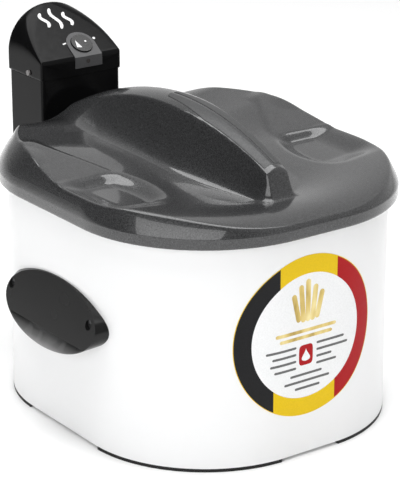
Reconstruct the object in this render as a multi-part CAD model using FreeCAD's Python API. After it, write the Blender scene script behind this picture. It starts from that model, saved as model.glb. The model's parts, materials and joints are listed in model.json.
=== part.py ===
"""Electric deep fryer: white housing, oil tank, lift-out control head with an
immersed heating element, basket with a folding handle, and a moulded lid.

Units are millimetres.  The pieces are drawn with the centre of the housing's
footprint at X = Y = 0, the front facing -Y and the floor at Z = 0.  On saving,
everything is moved by FRAME_SHIFT_Y, which puts the origin at the centre of
the whole object's footprint, on the floor.
"""
import FreeCAD
import Part
import math
import os

Vec = FreeCAD.Vector

# ---------------------------------------------------------------- driving dimensions
# housing: half width, half depth and corner radius of its plan
HOUSE = (140.0, 163.0, 114.5)
HOUSE_TOP = 194.0
FOOT_H = 3.0
BASE_RIM_H = 3.5
SHELL_T = 1.2

# tank and its hanging flange
TANK = (112.0, 135.0, 90.0)
TANK_T = 1.0
TANK_FLOOR = 44.0
TANK_FLANGE_Z = 195.6
TANK_FLANGE_T = 1.0
TANK_FILLET = 14.0

# lid: plan outlines at the rim, at the shoulder and at the highest corner
LID_RIM = (148.0, 171.0, 122.0)
LID_SHOULDER = (143.5, 165.5, 127.0)
LID_CROWN = (133.0, 156.0, 120.0)
LID_BOTTOM = 196.0
LID_SKIRT_TOP = 205.0
LID_SHOULDER_Z = 222.0
LID_CROWN_Z = 239.0
LID_WALL = 3.2
LINER_DROP = 8.0
LINER_T = 1.2

# control head behind the housing
HEAD_HALF_W = 43.0
HEAD_FRONT = 177.0
HEAD_REAR = 235.0
HEAD_BOTTOM = 100.0
HEAD_SEAM = 249.6
PANEL_FRONT_Z = 266.0
ARCH_RISE = 40.4
HEAD_WALL = 2.5
RESET_Y = 199.0
RESET_Z = 253.4

# sloping control panel: the dial's place on it, along X and up the slope
DIAL_X = 7.5
DIAL_UP = 14.5
DIAL_R = 10.2
BEZEL_R = 14.5
BEZEL_PROUD = 0.8

# heating element and what crosses the tank's rim with it
ELEMENT_R = 4.0
ELEMENT_Z = 58.0
CROSSING_Z = 201.6
STEM_Y = 118.0

# basket
BASKET = (92.0, 100.0, 66.0)
BASKET_CY = -14.0
BASKET_FLOOR = 74.0
BASKET_TOP = 184.0
PIVOT_Y = -122.0
PIVOT_Z = 188.0
HANDLE_LEN = 140.0

# side handles: each oval face leans out from the wall towards its lower lip
FACE_X = 150.2
FACE_LEAN = 0.30
FACE_OVAL = (68.4, 29.0)
FACE_CENTRE = (1.3, 109.2)
ROOT_X = 132.4
ROOT_OVAL = (77.0, 27.0)
ROOT_CENTRE = (5.0, 111.0)
DISH_DEPTH = 4.0
DISH_TOP = 94.0
GRIP_SCREW_Z = 115.0
GRIP_SEAT_X = 144.0
STRAP_X = 133.9
# finger recess under each side handle's lip: axis and half sizes of its channel
GRIP_AXIS_X = 145.5
GRIP_AXIS_Z = 76.0
GRIP_REACH = 7.0
GRIP_RISE = 12.0

FRAME_SHIFT_Y = -0.5 * (HEAD_REAR - LID_RIM[1])

X_AXIS = Vec(1, 0, 0)
Y_AXIS = Vec(0, 1, 0)
Z_AXIS = Vec(0, 0, 1)


# ---------------------------------------------------------------- drawing helpers
def save(name, shape):
    """Write one node, moved into the object's own frame."""
    moved = shape.copy()
    moved.translate(Vec(0, FRAME_SHIFT_Y, 0))
    moved.exportStep("parts/" + name + ".step")


def group(solids):
    return Part.makeCompound(solids)


def box(x0, x1, y0, y1, z0, z1):
    return Part.makeBox(x1 - x0, y1 - y0, z1 - z0, Vec(x0, y0, z0))


def rod(radius, start, end):
    """A round bar from one point to another."""
    along = end - start
    return Part.makeCylinder(radius, along.Length, start, along)


def inset(plan, amount):
    """The same rounded rectangle, smaller all round by an amount."""
    return tuple(value - amount for value in plan)


def plan_wire(plan, z, centre_y=0.0):
    """Closed outline of a rounded rectangle (half width, half depth, radius)."""
    half_x, half_y, radius = plan
    cx = half_x - radius
    cy = half_y - radius
    diagonal = radius * math.sqrt(0.5)
    edges = []
    for turn, (sx, sy) in enumerate([(1, -1), (1, 1), (-1, 1), (-1, -1)]):
        corner = Vec(sx * cx, sy * cy + centre_y, z)
        side = Vec(sx * radius, 0, 0)
        end = Vec(0, sy * radius, 0)
        middle = corner + Vec(sx * diagonal, sy * diagonal, 0)
        first, last = (end, side) if turn % 2 == 0 else (side, end)
        edges.append(Part.Arc(corner + first, middle, corner + last).toShape())
    outline = []
    for turn, arc in enumerate(edges):
        following = edges[(turn + 1) % 4]
        outline.append(arc)
        start = arc.Vertexes[-1].Point
        stop = following.Vertexes[0].Point
        outline.append(Part.LineSegment(start, stop).toShape())
    return Part.Wire(outline)


def prism(plan, z0, z1, centre_y=0.0):
    face = Part.Face(plan_wire(plan, z0, centre_y))
    return face.extrude(Vec(0, 0, z1 - z0))


def ring(outer, inner, z0, z1, centre_y=0.0):
    return prism(outer, z0, z1, centre_y).cut(prism(inner, z0 - 1, z1 + 1, centre_y))


def rounded_box(x0, x1, y0, y1, z0, z1, radius):
    """A box with rounded upright edges."""
    plan = (0.5 * (x1 - x0), 0.5 * (y1 - y0), radius)
    block = prism(plan, z0, z1, 0.5 * (y0 + y1))
    block.translate(Vec(0.5 * (x0 + x1), 0, 0))
    return block


def bent_path(points, bend):
    """Straight runs joined by tangent arcs of one radius."""
    edges = []
    start = points[0]
    for before, corner, after in zip(points, points[1:], points[2:]):
        back = (before - corner).normalize()
        ahead = (after - corner).normalize()
        half_angle = 0.5 * back.getAngle(ahead)
        trim = bend / math.tan(half_angle)
        bisector = (back + ahead).normalize()
        middle = corner + bisector * (bend / math.sin(half_angle) - bend)
        arc_in = corner + back * trim
        arc_out = corner + ahead * trim
        edges.append(Part.LineSegment(start, arc_in).toShape())
        edges.append(Part.Arc(arc_in, middle, arc_out).toShape())
        start = arc_out
    edges.append(Part.LineSegment(start, points[-1]).toShape())
    return Part.Wire(edges)


def tube(points, radius, bend):
    """A bent round bar."""
    path = bent_path(points, bend)
    direction = points[1] - points[0]
    section = Part.Wire(Part.makeCircle(radius, points[0], direction))
    return path.makePipeShell([section], True, False)


def ruled_solid(wires):
    return Part.makeLoft(wires, True, True)


# ---------------------------------------------------------------- housing
def make_housing():
    outer = prism(HOUSE, FOOT_H + BASE_RIM_H, HOUSE_TOP)
    cavity = prism(inset(HOUSE, SHELL_T), FOOT_H, HOUSE_TOP - SHELL_T)
    mouth = prism(inset(HOUSE, 18.0), HOUSE_TOP - 2 * SHELL_T, HOUSE_TOP + 1)
    shell = outer.cut(cavity).cut(mouth)
    for y, z in grip_screw_places():
        shell = shell.cut(rod(2.2, Vec(-170, y, z), Vec(170, y, z)))
    for x, z in dock_screw_places():
        shell = shell.cut(rod(2.2, Vec(x, 150, z), Vec(x, 180, z)))
    save("outer_shell", shell)

    z0 = FOOT_H
    base = prism(HOUSE, z0, z0 + BASE_RIM_H)
    lip_outer = inset(HOUSE, SHELL_T + 0.3)
    base = base.fuse(ring(lip_outer, inset(lip_outer, 2.0), z0 + 1, z0 + 11))
    for sx in (-1, 1):
        for slot in range(5):
            y = -40 + 20 * slot
            x = sx * 60
            base = base.cut(box(x - 18, x + 18, y - 3, y + 3, z0 - 1, z0 + BASE_RIM_H + 1))
    for x, y in base_screw_places():
        base = base.cut(Part.makeCylinder(2.1, 20, Vec(x, y, 0)))
    save("base_plate", base)

    corner_ring = ring(HOUSE, inset(HOUSE, 18.0), 0, FOOT_H)
    pads = []
    for sx in (-1, 1):
        for sy in (-1, 1):
            x0, x1 = sorted((sx * 30, sx * 200))
            y0, y1 = sorted((sy * 53, sy * 200))
            pad = corner_ring.common(box(x0, x1, y0, y1, -1, FOOT_H + 1))
            pads.append(pad)
    for x, y in base_screw_places():
        hole = Part.makeCylinder(4.6, 10, Vec(x, y, -1))
        pads = [pad.cut(hole) for pad in pads]
    save("foot_pads", group(pads))

    screws = []
    for x, y in base_screw_places():
        head = Part.makeCylinder(4.0, 2.0, Vec(x, y, 0.9))
        shank = Part.makeCylinder(2.0, 12.0, Vec(x, y, 2.9))
        screws.append(head.fuse(shank))
        nut = box(x - 4, x + 4, y - 4, y + 4, z0 + BASE_RIM_H, z0 + BASE_RIM_H + 3)
        screws.append(nut.cut(Part.makeCylinder(2.0, 20, Vec(x, y, 0))))
    save("base_screws", group(screws))

    seat_inner = inset(HOUSE, 20.2)
    seat = ring(inset(HOUSE, 18.2), seat_inner, 188.0, TANK_FLANGE_Z - 0.1)
    seat = seat.fuse(ring(inset(HOUSE, 14.0), seat_inner, HOUSE_TOP + 0.1, TANK_FLANGE_Z - 0.1))
    seat = seat.fuse(ring(inset(HOUSE, 14.0), seat_inner, 188.0, HOUSE_TOP - SHELL_T - 0.2))
    save("tank_seat_ring", seat)

    side_handles()
    head_dock()
    front_label()


def base_screw_places():
    return [(sx * 98.3, sy * 121.3) for sx in (-1, 1) for sy in (-1, 1)]


def root_oval(side, x, trim):
    """The upright oval from which a side handle grows, smaller by a trim."""
    half_len, half_h = ROOT_OVAL
    wire = Part.Wire(Part.Ellipse(Vec(0, 0, 0), half_len - trim, half_h - trim).toShape())
    wire.rotate(Vec(0, 0, 0), Z_AXIS, 90)
    wire.rotate(Vec(0, 0, 0), Y_AXIS, 90)
    wire.translate(Vec(side * x, *ROOT_CENTRE))
    return wire


def face_oval(side, sunk, trim):
    """The oval of a side handle's leaning face, sunk into it and smaller by a trim."""
    half_len, half_h = FACE_OVAL
    stretch = math.hypot(1.0, FACE_LEAN)
    wire = Part.Wire(Part.Ellipse(Vec(0, 0, 0), half_len - trim, (half_h - trim) * stretch).toShape())
    wire.rotate(Vec(0, 0, 0), Z_AXIS, 90)
    wire.rotate(Vec(0, 0, 0), Y_AXIS, 90)
    wire.rotate(Vec(0, 0, 0), Y_AXIS, -side * math.degrees(math.atan(FACE_LEAN)))
    wire.translate(Vec(side * (FACE_X - sunk), *FACE_CENTRE))
    return wire


def grip_screw_places():
    """Y and Z of the screws through each side handle."""
    return [(63.5, GRIP_SCREW_Z), (-55.5, GRIP_SCREW_Z)]


def finger_scoop(side, grow):
    """An elliptical channel under the handle's lip; grow leaves a wall behind it."""
    channel = Part.Wire(Part.Ellipse(Vec(0, 0, 0), GRIP_RISE + grow, GRIP_REACH + grow).toShape())
    channel.rotate(Vec(0, 0, 0), Z_AXIS, 90)
    channel.rotate(Vec(0, 0, 0), X_AXIS, 90)
    channel.translate(Vec(side * GRIP_AXIS_X, -120, GRIP_AXIS_Z))
    return Part.Face(channel).extrude(Vec(0, 260, 0))


def side_handles():
    wall = prism(inset(HOUSE, -0.15), 10, HOUSE_TOP)
    for side, name in ((-1, "left"), (1, "right")):
        outer = ruled_solid([root_oval(side, ROOT_X, 0.0), face_oval(side, 0.0, 0.0)])
        hollow = ruled_solid([root_oval(side, ROOT_X - 1, 4.0), face_oval(side, 7.5, 7.0)])
        handle = outer.cut(hollow.cut(finger_scoop(side, 2.4)))
        dish = ruled_solid([face_oval(side, -0.05, 1.4), face_oval(side, DISH_DEPTH, 9.0)])
        strap = box(-STRAP_X, STRAP_X, -65, 73, GRIP_SCREW_Z - 8, GRIP_SCREW_Z + 8)
        strap = strap.cut(box(-STRAP_X + 1.5, STRAP_X - 1.5, -90, 90, 90, 130))
        strap = strap.common(box(*sorted((0, side * 200)), -90, 90, 90, 130))
        for y, z in grip_screw_places():
            boss = rod(5.5, Vec(side * ROOT_X, y, z), Vec(side * FACE_X, y, z))
            handle = handle.fuse(boss.common(outer))
        handle = handle.cut(finger_scoop(side, 0.0)).cut(wall)
        handle = handle.cut(dish.common(box(-200, 200, -100, 100, 60, DISH_TOP)))
        for y, z in grip_screw_places():
            sink = rod(4.2, Vec(side * GRIP_SEAT_X, y, z), Vec(side * 170, y, z))
            hole = rod(2.1, Vec(side * 120, y, z), Vec(side * 170, y, z))
            handle = handle.cut(sink).cut(hole)
            strap = strap.cut(hole)
        save("side_handle_" + name, handle)
        save("handle_strap_" + name, strap)

    screws = []
    for side in (-1, 1):
        for y, z in grip_screw_places():
            head_x = side * GRIP_SEAT_X
            head = rod(3.8, Vec(head_x, y, z), Vec(head_x + side * 2.3, y, z))
            shank = rod(1.9, Vec(head_x, y, z), Vec(side * (STRAP_X - 6), y, z))
            slot = box(-1.0, 1.0, -3.0, 3.0, -0.5, 0.5)
            slot.translate(Vec(head_x + side * 2.3, y, z))
            screws.append(head.fuse(shank).cut(slot))
            n0, n1 = sorted((side * (STRAP_X - 4.7), side * (STRAP_X - 1.7)))
            nut = box(n0, n1, y - 4, y + 4, z - 4, z + 4)
            screws.append(nut.cut(rod(1.9, Vec(n0 - 1, y, z), Vec(n1 + 1, y, z))))
    save("handle_screws", group(screws))


# The dock's channel takes the tongue on the control head.
DOCK_HALF_W = 34.0
DOCK_FRONT = HOUSE[1] + 0.2
DOCK_BACK = HEAD_FRONT - 0.5
DOCK_TOP = 188.0
DOCK_BOTTOM = 72.0
TONGUE_BOTTOM = 112.0
TONGUE_TOP = 180.0


def dock_screw_places():
    return [(sx * 25.0, z) for sx in (-1, 1) for z in (88.0, 172.0)]


def head_dock():
    dock = rounded_box(-DOCK_HALF_W, DOCK_HALF_W, DOCK_FRONT, DOCK_BACK, DOCK_BOTTOM, DOCK_TOP, 3)
    neck = box(-10.4, 10.4, 170.5, DOCK_BACK + 1, TONGUE_BOTTOM - 2, DOCK_TOP + 1)
    flange = box(-15.4, 15.4, 166.6, 171.4, TONGUE_BOTTOM - 2, DOCK_TOP + 1)
    dock = dock.cut(neck).cut(flange)
    screws = []
    for x, z in dock_screw_places():
        dock = dock.cut(rod(4.6, Vec(x, DOCK_BACK - 5, z), Vec(x, DOCK_BACK + 1, z)))
        dock = dock.cut(rod(2.1, Vec(x, DOCK_FRONT - 1, z), Vec(x, DOCK_BACK, z)))
        head = rod(4.2, Vec(x, DOCK_BACK - 5, z), Vec(x, DOCK_BACK - 2, z))
        shank = rod(1.9, Vec(x, DOCK_BACK - 5, z), Vec(x, 155.0, z))
        screws.append(head.fuse(shank))
        wall_y = HOUSE[1] - SHELL_T - 0.2
        nut = box(x - 4, x + 4, wall_y - 3, wall_y, z - 4, z + 4)
        screws.append(nut.cut(rod(1.9, Vec(x, 150, z), Vec(x, 170, z))))
    save("head_dock", dock)
    save("dock_screws", group(screws))


def front_label():
    """A thin round label that follows the housing's front."""
    skin = prism(inset(HOUSE, -0.4), 20, 190).cut(prism(inset(HOUSE, -0.05), 19, 191))
    disc = rod(69.0, Vec(-5.5, -40, 108), Vec(-5.5, -200, 108))
    save("front_label", skin.common(disc))


# ---------------------------------------------------------------- tank
def make_tank():
    outer = prism(TANK, TANK_FLOOR, TANK_FLANGE_Z + TANK_FLANGE_T)
    bottom = [e for e in outer.Edges if e.BoundBox.ZMax < TANK_FLOOR + 0.01]
    outer = outer.makeFillet(TANK_FILLET, bottom)
    hollow = prism(inset(TANK, TANK_T), TANK_FLOOR + TANK_T, TANK_FLANGE_Z + 10)
    floor = [e for e in hollow.Edges if e.BoundBox.ZMax < TANK_FLOOR + TANK_T + 0.01]
    hollow = hollow.makeFillet(TANK_FILLET - TANK_T, floor)
    tank = outer.cut(hollow)
    for z in (104.0, 119.0):
        front = -(TANK[1] - TANK_T)
        tank = tank.fuse(box(-15, 15, front - 0.2, front + 0.6, z, z + 1.2))
    save("oil_tank", tank)
    flange = ring(inset(HOUSE, 6.0), TANK, TANK_FLANGE_Z, TANK_FLANGE_Z + TANK_FLANGE_T)
    save("tank_rim", flange)


# ---------------------------------------------------------------- control head
def head_block(shrink):
    """The cap: a box under the smooth hull of its front edge and its rear arch."""
    w = HEAD_HALF_W - shrink
    front = HEAD_FRONT + shrink
    rear = HEAD_REAR - shrink
    low = HEAD_SEAM - (1.0 if shrink else 0.0)
    edge_z = PANEL_FRONT_Z - shrink
    foot = Vec(0, rear, edge_z)
    apex = Vec(0, rear, edge_z + ARCH_RISE)
    block = box(-w, w, front, rear, low, edge_z)
    for side in (-1, 1):
        corner = Vec(side * w, front, edge_z)
        arch = Part.Ellipse(Vec(w, rear, edge_z), apex, foot)
        start, stop = (0, 0.5 * math.pi) if side > 0 else (0.5 * math.pi, math.pi)
        quarter = Part.ArcOfEllipse(arch, start, stop).toShape()
        ends = sorted((v.Point for v in quarter.Vertexes), key=lambda point: point.z)
        outline = Part.Wire([quarter, Part.makeLine(ends[1], foot), Part.makeLine(foot, ends[0])])
        block = block.fuse(Part.makeLoft([Part.Vertex(corner), outline], True, True))
    left = Vec(-w, front, edge_z)
    right = Vec(w, front, edge_z)
    corners = [(left, right, apex), (left, foot, right), (left, apex, foot), (right, foot, apex)]
    faces = [Part.Face(Part.makePolygon([a, b, c, a])) for a, b, c in corners]
    wedge = Part.Solid(Part.Shell(faces))
    return block.fuse(wedge).removeSplitter()


SLOPE = math.atan2(ARCH_RISE, HEAD_REAR - HEAD_FRONT)
PANEL_N = Vec(0, -math.sin(SLOPE), math.cos(SLOPE))
PANEL_UP = Vec(0, math.cos(SLOPE), math.sin(SLOPE))


def on_panel(x, up, out=0.0):
    """A point on the sloping panel, or standing out of it along its normal."""
    start = Vec(x, HEAD_FRONT, PANEL_FRONT_Z)
    return start + PANEL_UP * up + PANEL_N * out


def panel_outline(points, out0, out1):
    """A block with a drawn outline, standing on the panel between two heights."""
    corners = [on_panel(x, up, out0) for x, up in points]
    corners.append(corners[0])
    face = Part.Face(Part.makePolygon(corners))
    return face.extrude(PANEL_N * (out1 - out0))


def bezel_block():
    """Arch-shaped wedge that carries the dial and drops over the front edge."""
    disc = rod(BEZEL_R, on_panel(DIAL_X, DIAL_UP, -3), on_panel(DIAL_X, DIAL_UP, BEZEL_PROUD))
    x0 = DIAL_X - BEZEL_R
    x1 = DIAL_X + BEZEL_R
    legs = panel_outline([(x0, -8), (x1, -8), (x1, DIAL_UP), (x0, DIAL_UP)], -3, BEZEL_PROUD)
    front = HEAD_FRONT - BEZEL_PROUD
    legs = legs.common(box(x0 - 1, x1 + 1, front, HEAD_REAR, 256, 300))
    apron = box(x0, x1, front, HEAD_FRONT + 1.2, 256.0, 266.0)
    return disc.fuse(legs).fuse(apron).removeSplitter()


def make_head():
    cap = head_block(0.0).cut(head_block(HEAD_WALL))
    bezel = bezel_block()
    cap = cap.cut(bezel)
    well = rod(DIAL_R + 0.4, on_panel(DIAL_X, DIAL_UP, -1.4), on_panel(DIAL_X, DIAL_UP, 5))
    shaft_hole = rod(3.05, on_panel(DIAL_X, DIAL_UP, -20), on_panel(DIAL_X, DIAL_UP, 5))
    lens_axis = (Vec(DIAL_X - 0.8, HEAD_FRONT - 4, 261.8), Vec(DIAL_X - 0.8, HEAD_FRONT + 6, 261.8))
    bezel = bezel.cut(well).cut(shaft_hole).cut(rod(1.9, *lens_axis))
    cap = cap.cut(shaft_hole).cut(rod(2.2, *lens_axis))
    button_hole = rod(2.55, Vec(-HEAD_HALF_W - 1, RESET_Y, RESET_Z), Vec(-30, RESET_Y, RESET_Z))
    cap = cap.cut(button_hole)
    save("head_cap", cap)
    save("dial_bezel", bezel)
    save("pilot_lens", rod(1.9, Vec(DIAL_X - 0.8, HEAD_FRONT - 1.2, 261.8), lens_axis[1]))
    lamp_top = Vec(DIAL_X - 0.8, HEAD_FRONT + 6.2, 254.0)
    save("pilot_lamp", rod(2.6, lamp_top - Vec(0, 0, 14), lamp_top))

    marks = []
    cap_outer = head_block(0.0)
    raised = cap_outer.copy()
    raised.translate(PANEL_N * 0.3)
    dash = panel_outline([(-10.5, 17.2), (-6.9, 18.0), (-7.1, 19.3), (-10.7, 18.5)], -8, 8)
    dot = rod(1.3, on_panel(23.6, 19.0, -8), on_panel(23.6, 19.0, 8))
    for mark in (dash, dot):
        marks.append(mark.common(raised).cut(cap_outer))
    save("dial_scale", group(marks))

    head_lower()
    head_inside()
    element_group()


def head_lower():
    w = HEAD_HALF_W - 0.8
    front = HEAD_FRONT + 0.8
    rear = HEAD_REAR - 0.8
    top = HEAD_SEAM - 0.4
    body = rounded_box(-w, w, front, rear, HEAD_BOTTOM, top, 3.5)
    inside = rounded_box(-w + HEAD_WALL, w - HEAD_WALL, front + HEAD_WALL, rear - HEAD_WALL,
                         HEAD_BOTTOM - 1, top + 1, 1.5)
    body = body.cut(inside)
    neck = box(-10, 10, 171.0, front + 1, TONGUE_BOTTOM, TONGUE_TOP)
    flange = box(-15, 15, 167.0, 171.0, TONGUE_BOTTOM, TONGUE_TOP)
    body = body.fuse(neck).fuse(flange)
    for sx in (-1, 1):
        stem = Vec(sx * 26.0, front - 1, CROSSING_Z)
        body = body.cut(rod(ELEMENT_R + 0.3, stem, stem + Vec(0, 6, 0)))
    body = body.cut(rod(1.4, Vec(0, front - 1, CROSSING_Z), Vec(0, front + 5, CROSSING_Z)))
    for x, y in head_screw_places():
        boss = Part.makeCylinder(4.5, 16, Vec(x, y, HEAD_BOTTOM))
        body = body.fuse(boss).cut(Part.makeCylinder(1.5, 14, Vec(x, y, HEAD_BOTTOM - 1)))
    save("head_body", body)

    cover = rounded_box(-w, w, front, rear, HEAD_BOTTOM - 3.0, HEAD_BOTTOM - 0.1, 3.5)
    gland_hole = Part.makeCylinder(6.5, 10, Vec(0, 216, HEAD_BOTTOM - 8))
    cover = cover.cut(gland_hole)
    screws = []
    for x, y in head_screw_places():
        cover = cover.cut(Part.makeCylinder(1.7, 10, Vec(x, y, HEAD_BOTTOM - 8)))
        screw = Part.makeCylinder(3.0, 1.8, Vec(x, y, HEAD_BOTTOM - 4.8))
        screws.append(screw.fuse(Part.makeCylinder(1.5, 14.8, Vec(x, y, HEAD_BOTTOM - 3.0))))
    for slot in range(4):
        x = -21 + 14 * slot
        cover = cover.cut(box(x - 2, x + 2, 188, 204, HEAD_BOTTOM - 8, HEAD_BOTTOM + 2))
    save("head_cover", cover)
    save("head_screws", group(screws))

    collar = Part.makeCylinder(10.0, 3.0, Vec(0, 216, HEAD_BOTTOM - 6.1))
    neck = Part.makeCylinder(6.5, 12.0, Vec(0, 216, HEAD_BOTTOM - 6.1))
    lock = Part.makeCylinder(9.0, 3.0, Vec(0, 216, HEAD_BOTTOM))
    gland = collar.fuse(neck).fuse(lock).cut(Part.makeCylinder(4.0, 40, Vec(0, 216, HEAD_BOTTOM - 10)))
    save("cord_gland", gland)


def head_screw_places():
    return [(sx * 36.0, y) for sx in (-1, 1) for y in (184.5, 227.5)]


def head_inside():
    back = on_panel(DIAL_X, DIAL_UP, -25)
    seat = on_panel(DIAL_X, DIAL_UP, -9.5)
    half = 13.0
    body = box(-half, half, -half, half, 0, (seat - back).Length)
    body.rotate(Vec(0, 0, 0), X_AXIS, math.degrees(SLOPE))
    body.translate(back)
    bush = rod(5.0, on_panel(DIAL_X, DIAL_UP, -10), on_panel(DIAL_X, DIAL_UP, -4.4))
    bore = rod(3.05, on_panel(DIAL_X, DIAL_UP, -21), on_panel(DIAL_X, DIAL_UP, 0))
    save("thermostat", body.fuse(bush).cut(bore))

    cutout = rod(8.0, Vec(-29.5, RESET_Y, RESET_Z), Vec(-19.0, RESET_Y, RESET_Z))
    tabs = box(-19.0, -12.0, RESET_Y - 3, RESET_Y + 3, RESET_Z - 6.0, RESET_Z - 5.2)
    tabs = tabs.fuse(box(-19.0, -12.0, RESET_Y - 3, RESET_Y + 3, RESET_Z + 5.2, RESET_Z + 6.0))
    save("safety_cutout", cutout.fuse(tabs))

    block = box(8, 32, 208, 222, 132, 146)
    for slot in range(3):
        x = 13 + 7 * slot
        block = block.cut(rod(2.0, Vec(x, 207, 139), Vec(x, 223, 139)))
    save("terminal_block", block)

    leads = []
    for number, x in enumerate((13.0, 20.0, 27.0)):
        drop = 4.0 * number
        points = [Vec(x, 215, 146.2), Vec(x, 215, 226 - drop), Vec(x - 14, 205 + drop, 241 - drop)]
        leads.append(tube(points, 1.1, 9.0))
    save("internal_leads", group(leads))

    switch = box(-10, 10, front_wall() + 0.1, front_wall() + 6.6, 118, 129)
    lever = box(-8, 8, front_wall() + 1.5, front_wall() + 5.0, 129.0, 130.2)
    save("interlock_switch", switch.fuse(lever))


def front_wall():
    """Inner face of the lower head's front wall."""
    return HEAD_FRONT + 0.8 + HEAD_WALL


# ---------------------------------------------------------------- heating element
def element_group():
    z = ELEMENT_Z
    top = CROSSING_Z
    route = [
        (-26, 190, top), (-26, STEM_Y, top), (-26, STEM_Y, z), (-26, 84, z), (-80, 84, z),
        (-80, -104, z), (-30, -104, z), (-30, 44, z), (30, 44, z), (30, -104, z),
        (80, -104, z), (80, 84, z), (26, 84, z), (26, STEM_Y, z), (26, STEM_Y, top), (26, 190, top)]
    points = [Vec(*place) for place in route]
    save("heating_element", tube(points, ELEMENT_R, 15.0))

    bridge = box(-37, 37, 106, 177.6, 197.4, 207.2)
    bridge = bridge.cut(box(-35.8, 35.8, 107.2, 176.4, 190, 206.0))
    for sx in (-1, 1):
        bridge = bridge.cut(rod(ELEMENT_R + 0.3, Vec(sx * 26, 170, top), Vec(sx * 26, 180, top)))
    bridge = bridge.cut(rod(1.4, Vec(0, 170, top), Vec(0, 180, top)))
    save("element_bridge", bridge)

    save("thermostat_bulb", rod(3.0, Vec(0, -10, z + 8), Vec(0, 80, z + 8)))
    path = [Vec(0, 80, z + 8), Vec(0, STEM_Y, z + 8), Vec(0, STEM_Y, top), Vec(0, 186, top)]
    save("capillary", tube(path, 1.1, 10.0))

    clips = []
    for y in (5.0, 34.0):
        strap = box(-30, 30, y - 4, y + 4, z + ELEMENT_R + 0.05, z + ELEMENT_R + 0.95)
        clips.append(strap)
    low_strap = box(-84, 84, -70, -60, z - ELEMENT_R - 1.3, z - ELEMENT_R - 0.1)
    clips.append(low_strap)
    save("element_clips", group(clips))


def make_dial():
    disc = rod(DIAL_R, on_panel(DIAL_X, DIAL_UP, -1.2), on_panel(DIAL_X, DIAL_UP, 2.2))
    save("thermostat_dial", disc)
    shaft = rod(3.0, on_panel(DIAL_X, DIAL_UP, -20.5), on_panel(DIAL_X, DIAL_UP, -1.2))
    save("dial_shaft", shaft)
    tip = (DIAL_X - 5.6, DIAL_UP + 3.6)
    left = (DIAL_X - 7.6, DIAL_UP - 4.4)
    right = (DIAL_X - 2.6, DIAL_UP - 5.4)
    pointer = panel_outline([tip, left, right], 2.2, 2.6)
    dot = rod(1.0, on_panel(DIAL_X + 4.2, DIAL_UP + 1, 2.2), on_panel(DIAL_X + 4.2, DIAL_UP + 1, 2.6))
    save("dial_pointer", group([pointer, dot]))


def make_reset_button():
    head = rod(2.5, Vec(-HEAD_HALF_W - 1.6, RESET_Y, RESET_Z), Vec(-36, RESET_Y, RESET_Z))
    stem = rod(1.2, Vec(-36, RESET_Y, RESET_Z), Vec(-32.4, RESET_Y, RESET_Z))
    save("reset_button", head.fuse(stem))


# ---------------------------------------------------------------- basket
def make_basket():
    cy = BASKET_CY
    outer = prism(BASKET, BASKET_FLOOR, BASKET_TOP - 2, cy)
    edges = [e for e in outer.Edges if e.BoundBox.ZMax < BASKET_FLOOR + 0.01]
    outer = outer.makeFillet(12.0, edges)
    hollow = prism(inset(BASKET, 1.2), BASKET_FLOOR + 1.2, BASKET_TOP, cy)
    edges = [e for e in hollow.Edges if e.BoundBox.ZMax < BASKET_FLOOR + 1.3]
    hollow = hollow.makeFillet(10.8, edges)
    save("basket_mesh", outer.cut(hollow))

    rim = ring(inset(BASKET, -2.6), inset(BASKET, -0.1), BASKET_TOP - 5, BASKET_TOP, cy)
    save("basket_rim", rim)

    hooks = []
    rear = cy + BASKET[1] + 2.6
    for sx in (-1, 1):
        x = sx * 18.0
        points = [Vec(x, rear + 2.0, 150), Vec(x, rear + 2.0, 187), Vec(x, rear + 11.0, 187),
                  Vec(x, rear + 11.0, 176)]
        hooks.append(tube(points, 1.8, 4.0))
    save("drain_hook", group(hooks))

    front = cy - BASKET[1] - 2.6
    plate = box(-30, 30, front - 1.7, front - 0.2, 160, 184)
    ears = []
    for sx in (-1, 1):
        x0, x1 = sorted((sx * 26.5, sx * 28.0))
        ears.append(box(x0, x1, PIVOT_Y - 5, front - 0.2, 176, PIVOT_Z + 5))
    bracket = plate.fuse(ears[0]).fuse(ears[1])
    bracket = bracket.cut(rod(2.05, Vec(-40, PIVOT_Y, PIVOT_Z), Vec(40, PIVOT_Y, PIVOT_Z)))
    save("handle_bracket", bracket)


def make_basket_handle():
    z = PIVOT_Z
    wires = []
    barrel = rod(3.6, Vec(-25.0, PIVOT_Y, z), Vec(25.0, PIVOT_Y, z))
    pin = rod(2.0, Vec(-30.5, PIVOT_Y, z), Vec(30.5, PIVOT_Y, z))
    wires.append(barrel.fuse(pin))
    grip_z = z + 14.0
    for sx in (-1, 1):
        points = [Vec(sx * 20, PIVOT_Y, z), Vec(sx * 20, PIVOT_Y + 40, grip_z - 2),
                  Vec(sx * 6, PIVOT_Y + 60, grip_z), Vec(sx * 6, PIVOT_Y + 130, grip_z)]
        wires.append(tube(points, 2.0, 14.0))
    frame = wires[0].fuse(wires[1]).fuse(wires[2])
    save("handle_frame", frame)

    start = PIVOT_Y + 62
    end = PIVOT_Y + HANDLE_LEN
    grip = rounded_box(-11, 11, start, end, grip_z - 7, grip_z + 7, 10.5)
    edges = [e for e in grip.Edges if abs(e.BoundBox.ZMax - e.BoundBox.ZMin) < 0.01]
    grip = grip.makeFillet(3.5, edges)
    save("handle_grip", grip.cut(frame))


# ---------------------------------------------------------------- lid
def smooth(low, high, value):
    """Ease from 0 at low to 1 at high."""
    t = min(1.0, max(0.0, (value - low) / (high - low)))
    return t * t * (3 - 2 * t)


def outline_distance(plan, x, y):
    """Distance from a rounded rectangle, negative inside it."""
    half_x, half_y, radius = plan
    qx = abs(x) - (half_x - radius)
    qy = abs(y) - (half_y - radius)
    outside = math.hypot(max(qx, 0.0), max(qy, 0.0))
    return outside + min(max(qx, qy), 0.0) - radius


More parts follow.
